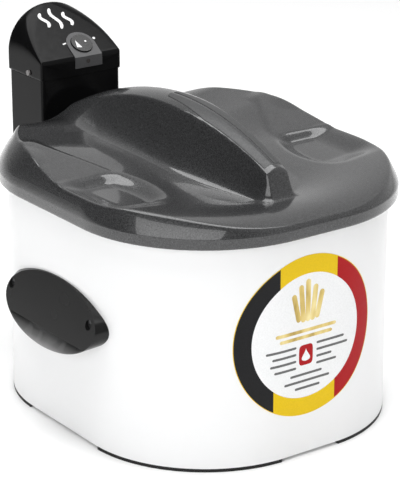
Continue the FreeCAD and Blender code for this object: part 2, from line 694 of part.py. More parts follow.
def edge_height(y):
    """Height of the lid's shoulder line along its length."""
    height = LID_SHOULDER_Z
    if y < -95:
        height -= 13.0 * min(1.4, ((-95 - y) / 76.0) ** 2)
    height += 14.0 * smooth(-2, 66, y)
    height -= 19.0 * smooth(112, 171, y)
    return height


def valley_height(y):
    """Height of the trough beside the ridge."""
    return 210.0 + 12.0 * smooth(-140, 90, y) - 5.0 * smooth(115, 171, y)


def ridge_height(y):
    """Crest of the ridge that forms the lid's handle: an arc of 297 mm radius."""
    return 266.4 - (y - 20.0) ** 2 / (2 * 297.0)


def plain_top(x, y):
    """The lid's broad surface without its ridge and scoops."""
    spine = outline_distance((48.0, 110.0, 40.0), x, y)
    edge = -outline_distance(LID_SHOULDER, x, y)
    blend = 0.0
    if spine > 0:
        blend = spine / (spine + max(edge, 0.0)) if edge > 0 else 1.0
    top = valley_height(y) * (1 - blend) + edge_height(y) * blend
    fold_x = 87.0 + (y - 4.0) * 33.0 / 65.0
    fold_z = 220.4 + 14.4 * (y - 4.0) / 65.0
    slope = 0.045 if x > fold_x else 0.32
    facet = fold_z + slope * (x - fold_x)
    fade = smooth(-10, 6, y) * (1 - smooth(66, 84, y))
    return top + max(0.0, facet - top) * fade


def scoop_depth(x, y):
    """How far the side recess for the fingers sinks."""
    inner_x = 71.0 + 13.0 * ((y + 42.0) / 46.0) ** 2
    rear = 1 - smooth(-9, 3, y + 0.1 * (x - 87))
    front = smooth(-92, -58, y)
    inner = smooth(inner_x, inner_x + 20, x)
    outer = 1 - 0.75 * smooth(118, 144, x)
    return 7.0 * rear * front * inner * outer


def lid_top(x, y):
    """Height of the lid's outer surface above any point of its plan."""
    x = abs(x)
    base = plain_top(x, y) - scoop_depth(x, y)
    half_top = 10.5 + 6.5 * smooth(-112, 20, y) + 6.0 * smooth(60, 171, y)
    foot = 20.0 + 26.0 * smooth(-125, -10, y) + 6.0 * smooth(0, 110, y)
    crest = ridge_height(y)
    if x <= half_top:
        height = crest - 4.0 * (x / half_top) ** 2
    else:
        t = min(1.0, (x - half_top) / (foot - half_top))
        height = base + (crest - 4.0 - base) * (1 - t) ** 2.3
    front_end = smooth(-124, -112, y)
    return base + max(0.0, height - base) * front_end


def lid_surface(drop):
    """A smooth surface through the lid's heights, lowered by drop."""
    columns = 61
    rows = 69
    reach_x = 156.0
    reach_y = 179.0
    grid = []
    for i in range(columns):
        x = -reach_x + 2 * reach_x * i / (columns - 1)
        line = []
        for j in range(rows):
            y = -reach_y + 2 * reach_y * j / (rows - 1)
            line.append(Vec(x, y, lid_top(x, y) - drop))
        grid.append(line)
    surface = Part.BSplineSurface()
    surface.approximate(Points=grid, DegMin=3, DegMax=5, Continuity=2, Tolerance=0.15)
    return surface.toShape()


def below_surface(solid, drop):
    """The part of a solid that lies under the lid's surface."""
    pieces = solid.generalFuse([lid_surface(drop)])[0].Solids
    return min(pieces, key=lambda piece: piece.CenterOfMass.z)


def drafted_block(amount):
    """The lid's walls: upright at the rim, then leaning in over the shoulder."""
    rim = prism(inset(LID_RIM, amount), LID_BOTTOM - (1.0 if amount else 0.0), LID_SKIRT_TOP)
    low = ruled_solid([plan_wire(inset(LID_RIM, amount), LID_SKIRT_TOP),
                       plan_wire(inset(LID_SHOULDER, amount), LID_SHOULDER_Z)])
    high = ruled_solid([plan_wire(inset(LID_SHOULDER, amount), LID_SHOULDER_Z),
                        plan_wire(inset(LID_CROWN, amount), LID_CROWN_Z)])
    upper = prism(inset(LID_CROWN, amount), LID_CROWN_Z, 280.0)
    return rim.fuse(low).fuse(high).fuse(upper)


def lid_screw_places():
    right = [(138.0, 0.0), (107.0, 126.0), (107.0, -126.0)]
    return right + [(-x, y) for x, y in right]


def make_lid():
    outer = below_surface(drafted_block(0.0), 0.0)
    inner = below_surface(drafted_block(LID_WALL), LID_WALL)
    notch = box(-39.5, 39.5, 100, 180, LID_BOTTOM - 5, 209.5)
    lid = outer.cut(inner).cut(notch)
    flange = prism(inset(LID_RIM, LID_WALL + 0.4), 199.0, 200.0)
    screws = []
    for x, y in lid_screw_places():
        boss = Part.makeCylinder(3.6, 60, Vec(x, y, 200.2))
        hole = Part.makeCylinder(1.4, 12, Vec(x, y, 198))
        lid = lid.fuse(boss.common(outer)).cut(hole)
        flange = flange.cut(hole)
        head = Part.makeCylinder(3.0, 1.7, Vec(x, y, 197.2))
        screws.append(head.fuse(Part.makeCylinder(1.4, 9.0, Vec(x, y, 198.9))))
    save("lid_shell", lid)
    save("lid_screws", group(screws))

    liner_plan = inset(LID_RIM, 21.0)
    liner = below_surface(prism(liner_plan, 199.5, 280.0), LINER_DROP)
    hollow = below_surface(prism(inset(liner_plan, LINER_T), 198.0, 280.0), LINER_DROP + LINER_T)
    save("lid_liner", flange.fuse(liner).cut(hollow).cut(notch))

    seal = ring(inset(LID_RIM, 16.5), inset(LID_RIM, 20.0), TANK_FLANGE_Z + TANK_FLANGE_T + 0.3, 198.9)
    save("lid_seal", seal.cut(notch))

    save("grip_inlay_left", grip_inlay(-1))
    save("grip_inlay_right", grip_inlay(1))


def grip_inlay(side):
    """A tapered textured strip beside the ridge's crest groove."""
    x_in = side * 1.5
    z = 200.0
    corners = [Vec(x_in, -108, z), Vec(side * 9.0, -108, z), Vec(side * 13.0, -30, z),
               Vec(side * 8.0, 30, z), Vec(x_in, 34, z)]
    corners.append(corners[0])
    column = Part.Face(Part.makePolygon(corners)).extrude(Vec(0, 0, 80))
    upper = below_surface(column, -0.5)
    lower = below_surface(column, -0.02)
    return upper.cut(lower)


# ---------------------------------------------------------------- build
os.makedirs("parts", exist_ok=True)
make_housing()
make_tank()
make_head()
make_dial()
make_reset_button()
make_basket()
make_basket_handle()
make_lid()
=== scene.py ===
"""Looks of an electric deep fryer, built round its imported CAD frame.

Lengths are in millimetres in the part's own drawing: centred on the housing's
footprint, front towards -Y, floor at Z = 0.  place() turns them into the frame.
"""

import json
import math

import bmesh
import bpy
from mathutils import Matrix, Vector


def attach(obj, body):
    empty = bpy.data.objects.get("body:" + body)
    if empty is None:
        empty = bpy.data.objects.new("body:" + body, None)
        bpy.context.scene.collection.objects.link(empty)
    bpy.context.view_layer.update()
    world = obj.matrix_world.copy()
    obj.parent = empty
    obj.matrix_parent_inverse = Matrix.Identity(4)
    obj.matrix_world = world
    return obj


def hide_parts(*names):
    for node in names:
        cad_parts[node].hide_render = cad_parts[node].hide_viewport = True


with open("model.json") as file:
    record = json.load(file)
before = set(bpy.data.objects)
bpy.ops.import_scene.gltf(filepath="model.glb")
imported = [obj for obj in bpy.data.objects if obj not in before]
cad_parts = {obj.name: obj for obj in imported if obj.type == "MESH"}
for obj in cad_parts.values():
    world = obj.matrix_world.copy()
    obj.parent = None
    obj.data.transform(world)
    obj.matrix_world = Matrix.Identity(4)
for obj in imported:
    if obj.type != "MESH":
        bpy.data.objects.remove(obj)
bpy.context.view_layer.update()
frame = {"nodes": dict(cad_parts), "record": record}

# Metres in a millimetre, and how far the frame lies from the drawing along Y, in mm.
MM = 0.001
SHIFT_Y = -32.0


def place(x, y, z):
    """A point of the drawing, in the frame's metres."""
    return Vector((x * MM, (y + SHIFT_Y) * MM, z * MM))


# ---------------------------------------------------------------- small maths
def clamp(value, low=0.0, high=1.0):
    return max(low, min(high, value))


def smooth(low, high, value):
    """0 at low, 1 at high and an S between them."""
    t = clamp((value - low) / (high - low))
    return t * t * (3 - 2 * t)


def mix(a, b, t):
    """A number a share t of the way from a to b."""
    return a + (b - a) * t


# ---------------------------------------------------------------- materials
def set_range(node, from_low, from_high, to_low, to_high):
    """Fills in a Map Range node."""
    for name, number in (("From Min", from_low), ("From Max", from_high),
                         ("To Min", to_low), ("To Max", to_high)):
        node.inputs[name].default_value = number


class Surface:
    """A principled material with short helpers for its procedural nodes."""

    def __init__(self, name, colour, rough, metal=0.0, coat=0.0, coat_rough=0.05, specular=0.5):
        self.material = bpy.data.materials.new(name)
        self.material.use_nodes = True
        self.tree = self.material.node_tree
        self.shader = self.tree.nodes["Principled BSDF"]
        self.colour = colour
        self.rough = rough
        self.set("Base Color", (*colour, 1.0))
        self.set("Roughness", rough)
        self.set("Metallic", metal)
        self.set("Coat Weight", coat)
        self.set("Coat Roughness", coat_rough)
        self.set("Specular IOR Level", specular)
        self.height = None

    def set(self, socket, value):
        self.shader.inputs[socket].default_value = value

    def node(self, kind):
        return self.tree.nodes.new(kind)

    def link(self, a, b):
        self.tree.links.new(a, b)

    def coords(self, stretch=(1, 1, 1)):
        """The object's own coordinates in metres, scaled along each axis."""
        source = self.node("ShaderNodeTexCoord")
        mapping = self.node("ShaderNodeMapping")
        mapping.inputs["Scale"].default_value = stretch
        self.link(source.outputs["Object"], mapping.inputs["Vector"])
        return mapping.outputs["Vector"]

    def noise(self, size, detail=2.0, stretch=(1, 1, 1), rough=0.5):
        """Noise whose blotches are about size metres across."""
        made = self.node("ShaderNodeTexNoise")
        made.inputs["Scale"].default_value = 1.0 / size
        made.inputs["Detail"].default_value = detail
        made.inputs["Roughness"].default_value = rough
        self.link(self.coords(stretch), made.inputs["Vector"])
        return made.outputs["Fac"]

    def remap(self, value, from_low, from_high, to_low, to_high):
        """A value stretched from one range to another."""
        made = self.node("ShaderNodeMapRange")
        set_range(made, from_low, from_high, to_low, to_high)
        self.link(value, made.inputs["Value"])
        return made.outputs["Result"]

    def ramp(self, value, stops):
        """A colour for a 0..1 value, from stops of (position, colour)."""
        made = self.node("ShaderNodeValToRGB")
        points = made.color_ramp.elements
        while len(points) < len(stops):
            points.new(0.5)
        for point, (position, colour) in zip(points, stops):
            point.position = position
            point.color = (*colour, 1.0)
        self.link(value, made.inputs["Fac"])
        return made.outputs["Color"]

    def vary_colour(self, value, spread, low=0.3, high=0.7):
        """Lets a 0..1 value lighten and darken the base colour."""
        dark = tuple(c * (1 - spread) for c in self.colour)
        light = tuple(min(1.0, c * (1 + spread)) for c in self.colour)
        self.link(self.ramp(value, [(low, dark), (high, light)]), self.shader.inputs["Base Color"])

    def vary_rough(self, value, spread, low=0.3, high=0.7):
        """Lets a 0..1 value make the surface glossier and duller."""
        result = self.remap(value, low, high, self.rough - spread, self.rough + spread)
        self.link(result, self.shader.inputs["Roughness"])

    def bump(self, value, depth, strength=1.0):
        """Adds relief of a depth in metres; calls stack."""
        made = self.node("ShaderNodeBump")
        made.inputs["Distance"].default_value = depth
        made.inputs["Strength"].default_value = strength
        self.link(value, made.inputs["Height"])
        if self.height is not None:
            self.link(self.height, made.inputs["Normal"])
        self.height = made.outputs["Normal"]
        self.link(self.height, self.shader.inputs["Normal"])


def grey(value):
    return (value, value, value)

def plain(name, colour, rough, tint, gloss, relief=None, **more):
    """A material with noise in its colour, its roughness and its relief.

    tint and gloss hold the blotches' size in metres, their detail and the spread;
    relief holds the grain's size, its depth and its strength.
    """
    surface = Surface(name, colour, rough, **more)
    size, detail, spread = tint
    surface.vary_colour(surface.noise(size, detail), spread)
    size, detail, spread = gloss
    surface.vary_rough(surface.noise(size, detail), spread)
    if relief:
        size, depth, strength = relief
        surface.bump(surface.noise(size), depth, strength)
    return surface


def lid_plastic():
    """Dark plastic with metal flake under a clear coat."""
    lid = Surface("lid_plastic", (0.046, 0.0466, 0.048), 0.26, metal=0.35, coat=0.8,
                  coat_rough=0.04, specular=0.3)
    flake = lid.noise(0.0011, 3.0, rough=0.75)
    lid.vary_colour(flake, 0.7, 0.32, 0.7)
    lid.vary_rough(lid.noise(0.0009, 1.0), 0.05)
    lid.bump(flake, 0.00003, 0.35)
    return lid


def inlay_plastic():
    """The matt, grained strips beside the lid's crest."""
    inlay = Surface("lid_inlay", (0.05, 0.051, 0.052), 0.5, metal=0.3, coat=0.1, coat_rough=0.3)
    grain = inlay.noise(0.0009, 3.0, rough=0.75)
    inlay.vary_colour(grain, 0.6)
    inlay.vary_rough(inlay.noise(0.002), 0.07)
    inlay.bump(grain, 0.00012, 0.6)
    return inlay


# Heights in metres over which the side handles' painted bounce light fades from pale grey to
# black.
GRIP_PAINTED_LIGHT_LOW_Z = 0.079
GRIP_PAINTED_LIGHT_HIGH_Z = 0.095


def grip_plastic_painted_light():
    """Black plastic with painted light: its colour pales towards the lower lip of a side handle,
    standing in for light bounced up from the floor.
    """
    grip = Surface("grip_plastic_painted_light", (0.007, 0.007, 0.0073), 0.26, specular=0.3)
    split = grip.node("ShaderNodeSeparateXYZ")
    grip.link(grip.coords(), split.inputs["Vector"])
    # Painted light: pale grey at the lower lip, darkening to black higher up the handle.
    up = grip.remap(split.outputs["Z"], GRIP_PAINTED_LIGHT_LOW_Z, GRIP_PAINTED_LIGHT_HIGH_Z, 0.0, 1.0)
    painted_light_shades = [(0.0, grey(0.3)), (0.35, grey(0.12)), (0.8, grey(0.03)), (1.0, grey(0.007))]
    grip.link(grip.ramp(up, painted_light_shades), grip.shader.inputs["Base Color"])
    grip.vary_rough(grip.noise(0.03, 1.0), 0.02)
    grip.bump(grip.noise(0.003, 1.0), 0.000002, 0.1)
    return grip


def brushed_steel():
    """Stainless sheet, brushed along its height."""
    steel = Surface("brushed_steel", (0.62, 0.61, 0.6), 0.3, metal=1.0)
    brushed = steel.noise(0.0006, 3.0, stretch=(1, 1, 0.03))
    steel.vary_colour(steel.noise(0.05, 2.0), 0.05)
    steel.vary_rough(brushed, 0.08)
    steel.bump(brushed, 0.00001, 0.4)
    return steel


def label_gold():
    """Metallic ink with a painted sheen: its colour runs from dark to bright gold in broad
    streaks.
    """
    gold = Surface("label_gold", (0.55, 0.4, 0.11), 0.34, metal=0.75)
    painted_sheen = gold.noise(0.012, 2.0, stretch=(1, 1, 0.4))
    # Painted sheen: dark, mid and bright gold stops for the streaks.
    bands = [(0.3, (0.3, 0.2, 0.04)), (0.5, (0.62, 0.47, 0.16)), (0.7, (0.8, 0.7, 0.36))]
    gold.link(gold.ramp(painted_sheen, bands), gold.shader.inputs["Base Color"])
    gold.vary_rough(gold.noise(0.002), 0.05)
    gold.bump(gold.noise(0.0008), 0.00001, 0.3)
    return gold


def ink(name, colour, rough=0.35, spread=0.04):
    """Flat printed colour."""
    return plain(name, colour, rough, specular=0.18, tint=(0.0012, 3.0, spread),
                 gloss=(0.004, 2.0, 0.04), relief=(0.0009, 0.00001, 0.3))


def plastics():
    """Everything moulded: plastics, rubber, and the housing's paint."""
    return {
        "enamel": plain("white_enamel", (0.8, 0.803, 0.806), 0.3, coat=0.2, coat_rough=0.08,
                        tint=(0.25, 1.0, 0.004), gloss=(0.2, 1.0, 0.02),
                        relief=(0.0016, 0.00002, 0.12)),
        "lid": lid_plastic(),
        "inlay": inlay_plastic(),
        "head": plain("head_plastic", (0.0035, 0.0035, 0.0037), 0.16, specular=0.1,
                      tint=(0.02, 3.0, 0.15), gloss=(0.006, 2.0, 0.04),
                      relief=(0.0007, 0.00001, 0.3)),
        "bezel": plain("bezel_plastic", (0.052, 0.052, 0.054), 0.42,
                       tint=(0.0006, 2.0, 0.2), gloss=(0.003, 2.0, 0.05),
                       relief=(0.0004, 0.00003, 0.4)),
        "dial": plain("dial_plastic", grey(0.006), 0.3,
                      tint=(0.004, 2.0, 0.2), gloss=(0.002, 2.0, 0.05),
                      relief=(0.0005, 0.00002, 0.3)),
        "handle": plain("handle_plastic", (0.007, 0.007, 0.0073), 0.26, specular=0.3,
                        tint=(0.012, 3.0, 0.15), gloss=(0.002, 2.0, 0.05),
                        relief=(0.0006, 0.000003, 0.2)),
        "grip": grip_plastic_painted_light(),
        "foot": plain("foot_rubber", grey(0.01), 0.6, specular=0.3,
                      tint=(0.001, 2.0, 0.3), gloss=(0.004, 2.0, 0.08),
                      relief=(0.0008, 0.00006, 0.5)),
        "base": plain("base_plastic", (0.018, 0.018, 0.019), 0.45, specular=0.35,
                      tint=(0.001, 2.0, 0.2), gloss=(0.01, 2.0, 0.06),
                      relief=(0.0007, 0.00005, 0.4)),
        "switch": plain("switchgear", (0.42, 0.4, 0.35), 0.5,
                        tint=(0.003, 2.0, 0.12), gloss=(0.003, 2.0, 0.06),
                        relief=(0.0006, 0.00004, 0.4)),
        "lead": plain("lead_sleeve", (0.13, 0.13, 0.14), 0.5,
                      tint=(0.002, 2.0, 0.2), gloss=(0.002, 2.0, 0.06),
                      relief=(0.0006, 0.00004, 0.4)),
        "seal": plain("seal_rubber", (0.3, 0.3, 0.29), 0.62,
                      tint=(0.002, 2.0, 0.15), gloss=(0.004, 2.0, 0.06),
                      relief=(0.0008, 0.00005, 0.4)),
        "reset": plain("reset_button", (0.16, 0.15, 0.15), 0.28,
                       tint=(0.002, 2.0, 0.1), gloss=(0.002, 2.0, 0.05),
                       relief=(0.0005, 0.00002, 0.3)),
        "lens": plain("lamp_lens", (0.035, 0.03, 0.028), 0.12, coat=0.6,
                      tint=(0.002, 2.0, 0.2), gloss=(0.002, 2.0, 0.03),
                      relief=(0.0005, 0.00001, 0.3)),
    }


def metals():
    """Sheet, wire, screws and the conductors inside."""
    return {
        "steel": brushed_steel(),
        "wire": plain("wire_chrome", (0.4, 0.4, 0.395), 0.24, metal=1.0,
                      tint=(0.01, 2.0, 0.06), gloss=(0.004, 2.0, 0.05),
                      relief=(0.0008, 0.00001, 0.3)),
        "element": plain("element_steel", (0.3, 0.28, 0.26), 0.36, metal=1.0,
                         tint=(0.02, 4.0, 0.3), gloss=(0.005, 2.0, 0.08),
                         relief=(0.0012, 0.00003, 0.4)),
        "screw": plain("screw_steel", (0.32, 0.32, 0.33), 0.34, metal=1.0,
                       tint=(0.002, 2.0, 0.2), gloss=(0.001, 2.0, 0.08),
                       relief=(0.0005, 0.00003, 0.4)),
        "dark_screw": plain("blackened_screw", (0.05, 0.05, 0.052), 0.38, metal=0.7,
                            tint=(0.002, 2.0, 0.2), gloss=(0.001, 2.0, 0.08),
                            relief=(0.0005, 0.00003, 0.4)),
        "brass": plain("brass", (0.55, 0.38, 0.14), 0.32, metal=1.0,
                       tint=(0.004, 2.0, 0.15), gloss=(0.002, 2.0, 0.08),
                       relief=(0.0006, 0.00002, 0.4)),
        "copper": plain("copper", (0.62, 0.28, 0.16), 0.3, metal=1.0,
                        tint=(0.004, 2.0, 0.2), gloss=(0.002, 2.0, 0.08),
                        relief=(0.0006, 0.00002, 0.4)),
    }


def make_materials():
    """Every material, by its key."""
    made = {**plastics(), **metals()}
    for surface in (ink("mark_white", grey(0.78)),
                    ink("label_white", (0.82, 0.825, 0.83), 0.45),
                    ink("label_black", (0.008, 0.008, 0.009), 0.5, spread=0.2),
                    ink("label_yellow", (0.74, 0.5, 0.004), 0.5),
                    ink("label_red", (0.38, 0.003, 0.006), 0.5),
                    ink("label_grey", grey(0.13), spread=0.15),
                    label_gold()):
        made[surface.material.name] = surface

    made["glass"] = plain("lamp_glass", (0.8, 0.42, 0.2), 0.1,
                          tint=(0.004, 2.0, 0.1), gloss=(0.003, 2.0, 0.03))
    made["glass"].set("Transmission Weight", 0.6)
    made["floor"] = plain("studio_floor", grey(0.95), 0.75, specular=0.1,
                          tint=(0.4, 2.0, 0.004), gloss=(0.2, 2.0, 0.03))
    return {key: surface.material for key, surface in made.items()}


MATERIAL = make_materials()

# The CAD nodes that have each material.
FINISH = {
    "enamel": ["outer_shell", "base_plate"],
    "base": ["tank_seat_ring"],
    "foot": ["foot_pads"],
    "dark_screw": ["handle_screws"],
    "screw": ["base_screws", "dock_screws", "head_screws", "lid_screws", "handle_strap_left",
              "handle_strap_right"],
    # The side handles' material has painted bounce light towards their lower lips.
    "handle": ["handle_grip", "cord_gland"],
    "grip": ["side_handle_left", "side_handle_right"],
    "steel": ["oil_tank", "tank_rim", "lid_liner", "element_bridge"],
    "element": ["heating_element", "thermostat_bulb", "element_clips"],
    "head": ["head_dock", "head_cap", "head_body", "head_cover"],
    "bezel": ["dial_bezel"],
    "dial": ["thermostat_dial"],
    "mark_white": ["dial_pointer", "dial_scale"],
    "lens": ["pilot_lens"],
    "glass": ["pilot_lamp"],
    "copper": ["capillary"],
    "brass": ["terminal_block", "dial_shaft"],
    "switch": ["thermostat", "safety_cutout", "interlock_switch"],
    "lead": ["internal_leads"],
    "reset": ["reset_button"],
    "wire": ["basket_rim", "drain_hook", "handle_bracket", "handle_frame", "basket_mesh"],
    "lid": ["lid_shell"],
    "seal": ["lid_seal"],
    "inlay": ["grip_inlay_left", "grip_inlay_right"],
    "label_white": ["front_label"],
}
BODY_OF = {}
for body_name, members in frame["record"]["behaviour"]["bodies"].items():
    for member in members:
        BODY_OF[member] = body_name
MATERIAL_OF = {}
for material_key, members in FINISH.items():
    for member in members:
        MATERIAL_OF[member] = MATERIAL[material_key]


def paint_frame():
    """Gives every CAD node its material."""
    for name, node in frame["nodes"].items():
        node.data.materials.clear()
        node.data.materials.append(MATERIAL_OF[name])


# ---------------------------------------------------------------- mesh helpers
def new_object(name, bm, materials, body, replaced=(), flat=False):
    """Turns a bmesh into a piece that rides on a body."""
    mesh = bpy.data.meshes.new(name)
    bmesh.ops.recalc_face_normals(bm, faces=bm.faces)
    bm.to_mesh(mesh)
    bm.free()
    for polygon in mesh.polygons:
        polygon.use_smooth = not flat
    for material in materials:
        mesh.materials.append(material)
    made = bpy.data.objects.new(name, mesh)
    bpy.context.scene.collection.objects.link(made)
    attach(made, body)
    if replaced:
        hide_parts(*replaced)
    return made


def crisp(mesh, degrees=32.0):
    """Smooth shading that breaks only at edges sharper than an angle."""
    bm = bmesh.new()
    bm.from_mesh(mesh)
    for edge in bm.edges:
        if len(edge.link_faces) == 2:
            edge.smooth = edge.calc_face_angle(0.0) < math.radians(degrees)
    bm.to_mesh(mesh)
    bm.free()


def softened(node, width, segments=3, corner=24.0):
    """A copy of a CAD node with its hard edges rounded; it stands for the node."""
    bm = bmesh.new()
    bm.from_mesh(frame["nodes"][node].data)
    bmesh.ops.remove_doubles(bm, verts=bm.verts, dist=2e-6)
    bmesh.ops.dissolve_limit(bm, angle_limit=math.radians(0.3), verts=bm.verts, edges=bm.edges)
    hard = []
    for edge in bm.edges:
        if len(edge.link_faces) == 2 and edge.calc_face_angle(0.0) > math.radians(corner):
            hard.append(edge)
    bmesh.ops.bevel(bm, geom=hard, offset=width * MM, segments=segments, profile=0.5,
                    affect="EDGES", clamp_overlap=True, offset_type="OFFSET")
    made = new_object(node + "_soft", bm, [MATERIAL_OF[node]], BODY_OF[node], [node])
    crisp(made.data)
    weighted = made.modifiers.new("weighted", "WEIGHTED_NORMAL")
    weighted.keep_sharp = True
    weighted.weight = 60
    return made


def strip_faces(bm, rows, closed=False):
    """Quads between successive rows of vertices."""
    for low, high in zip(rows, rows[1:]):
        count = len(low)
        for i in range(count if closed else count - 1):
            j = (i + 1) % count
            corners = [low[i], low[j], high[j], high[i]]
            if len(set(corners)) == 4:
                bm.faces.new(corners)


# ---------------------------------------------------------------- lid
# A plan is half its width, half its length and its corner radius.
LID_RIM = (148.0, 171.0, 122.0)
LID_SHOULDER = (143.5, 165.5, 127.0)
LID_CROWN = (133.0, 156.0, 120.0)
LID_SPINE = (48.0, 110.0, 40.0)
LID_BOTTOM = 196.0
LID_SKIRT_TOP = 205.0
LID_SHOULDER_Z = 222.0
LID_CROWN_Z = 239.0
LID_WALL = 3.2


def outline_distance(plan, x, y):
    """Distance of a point from a plan's outline, negative inside it."""
    half_x, half_y, radius = plan
    qx = abs(x) - (half_x - radius)
    qy = abs(y) - (half_y - radius)
    outside = math.hypot(max(qx, 0.0), max(qy, 0.0))
    return outside + min(max(qx, qy), 0.0) - radius


def edge_height(y):
    """Height of the lid's shoulder line along its length."""
    height = LID_SHOULDER_Z
    if y < -95:
        height -= 13.0 * min(1.4, ((-95 - y) / 76.0) ** 2)
    return height + 14.0 * smooth(-2, 66, y) - 19.0 * smooth(112, 171, y)


def valley_height(y):
    """Height of the trough beside the ridge."""
    return 210.0 + 12.0 * smooth(-140, 90, y) - 5.0 * smooth(115, 171, y)


def ridge_height(y):
    """Crest of the ridge that forms the lid's handle: an arc of 297 mm radius."""
    return 266.4 - (y - 20.0) ** 2 / (2 * 297.0)


def plain_top(x, y):
    """The lid's broad surface without its ridge and scoops."""
    spine = outline_distance(LID_SPINE, x, y)
    edge = -outline_distance(LID_SHOULDER, x, y)
    blend = 0.0
    if spine > 0:
        blend = spine / (spine + max(edge, 0.0)) if edge > 0 else 1.0
    top = mix(valley_height(y), edge_height(y), blend)
    fold_x = 87.0 + (y - 4.0) * 33.0 / 65.0
    fold_z = 220.4 + 14.4 * (y - 4.0) / 65.0
    slope = 0.045 if x > fold_x else 0.32
    facet = fold_z + slope * (x - fold_x)
    fade = smooth(-10, 6, y) * (1 - smooth(66, 84, y))
    return top + max(0.0, facet - top) * fade


def scoop_depth(x, y):
    """How far the side recess for the fingers sinks."""
    inner_x = 71.0 + 13.0 * ((y + 42.0) / 46.0) ** 2
    rear = 1 - smooth(-9, 3, y + 0.1 * (x - 87))
    front = smooth(-92, -58, y)
    outer = 1 - 0.75 * smooth(118, 144, x)
    return 7.0 * rear * front * smooth(inner_x, inner_x + 20, x) * outer


def ridge_half_top(y):
    """Half the width of the ridge's rounded top."""
    return 10.5 + 6.5 * smooth(-112, 20, y) + 6.0 * smooth(60, 171, y)


def lid_top(x, y):
    """Height of the lid's outer surface above any point of its plan."""
    x = abs(x)
    base = plain_top(x, y) - scoop_depth(x, y)
    half_top = ridge_half_top(y)
    foot = 20.0 + 26.0 * smooth(-125, -10, y) + 6.0 * smooth(0, 110, y)
    crest = ridge_height(y)
    if x <= half_top:
        height = crest - 4.0 * (x / half_top) ** 2
    else:
        t = min(1.0, (x - half_top) / (foot - half_top))
        height = base + (crest - 4.0 - base) * (1 - t) ** 2.3
    return base + max(0.0, height - base) * smooth(-124, -112, y)


# The lid's skin is a grid over its core, with columns from the core out to the skirt.
QUARTER_X = 15
QUARTER_ARC = 112
QUARTER_Y = 29
CELLS_X = 104
CELLS_Y = 208
CORE_X = 62.0
CORE_Y = 130.0
RINGS = 44
# The notch in the rear skirt, over the bridge of the heating element.
NOTCH_HALF = 39.5
NOTCH_BOTTOM = 209.5
# The skirt's rolled lower edge: height above its bottom, and distance in from the wall.
SKIRT_ROLL = ((6.0, LID_WALL), (0.7, LID_WALL), (0.15, 2.9), (0.0, 2.2), (0.0, 1.0), (0.2, 0.4),
              (0.8, 0.08))
SKIRT_LEVELS = (198.0, 201.0, 203.6, 204.6, 205.0, 205.5, 206.5)
WALL_CURVE = 1.25
WALL_LEVELS = 7
# The rounding between the wall and the top starts this far down and ends this far in.
CREASE_DROP = 2.2
CREASE_REACH = 2.4
CREASE_STEPS = 6


def quarter_outline(plan):
    """A quarter of an outline, from the front's middle to the right side's middle."""
    half_x, half_y, radius = plan
    flat_x = half_x - radius
    flat_y = half_y - radius
    points = [(flat_x * i / QUARTER_X, -half_y) for i in range(QUARTER_X)]
    for i in range(QUARTER_ARC):
        angle = 0.5 * math.pi * i / QUARTER_ARC
        points.append((flat_x + radius * math.sin(angle), -flat_y - radius * math.cos(angle)))
    points += [(half_x, -flat_y + flat_y * i / QUARTER_Y) for i in range(QUARTER_Y)]
    return points


def whole_outline(quarter, corner):
    """Mirrors a quarter into a closed loop, anticlockwise from the front's middle."""
    right = quarter + [(corner[0], 0.0)]
    right += [(x, -y) for x, y in reversed(quarter[1:])]
    right.append((0.0, corner[1]))
    return right + [(-x, y) for x, y in reversed(right[1:-1])]


def spaced(low, high, count, density):
    """Positions from low to high whose spacing is finer where density is high."""
    samples = 2000
    total = [0.0]
    for i in range(samples):
        total.append(total[-1] + density(mix(low, high, (i + 0.5) / samples)))
    lines = []
    j = 0
    for i in range(count + 1):
        want = total[-1] * i / count
        while j < samples - 1 and total[j + 1] < want:
            j += 1
        share = (want - total[j]) / (total[j + 1] - total[j])
        lines.append(mix(low, high, (j + clamp(share)) / samples))
    return lines


def core_border():
    """Grid places round the core, from the front's middle, anticlockwise."""
    border = [(i, 0) for i in range(CELLS_X // 2, CELLS_X)]
    border += [(CELLS_X, j) for j in range(CELLS_Y)]
    border += [(i, CELLS_Y) for i in range(CELLS_X, 0, -1)]
    border += [(0, j) for j in range(CELLS_Y, 0, -1)]
    return border + [(i, 0) for i in range(CELLS_X // 2)]


def wall_line(rim, shoulder, crown):
    """The lid's outer wall over one point of its rim, as a function of height."""
    def at(z):
        if z <= LID_SKIRT_TOP:
            return rim
        if z <= LID_SHOULDER_Z:
            t = ((z - LID_SKIRT_TOP) / (LID_SHOULDER_Z - LID_SKIRT_TOP)) ** WALL_CURVE
            return (mix(rim[0], shoulder[0], t), mix(rim[1], shoulder[1], t))
        t = min(1.0, (z - LID_SHOULDER_Z) / (LID_CROWN_Z - LID_SHOULDER_Z))
        return (mix(shoulder[0], crown[0], t), mix(shoulder[1], crown[1], t))
    return at


def crease_height(wall):
    """Height at which a wall line meets the lid's top, found by halving."""
    low, high = 206.0, 250.0
    for _ in range(24):
        middle = 0.5 * (low + high)
        if lid_top(*wall(middle)) > middle:
            low = middle
        else:
            high = middle
    return low


def inward(point, amount):
    """A point moved straight towards the lid's middle."""
    x, y = point
    away = math.hypot(x, y)
    return (x - amount * x / away, y - amount * y / away)


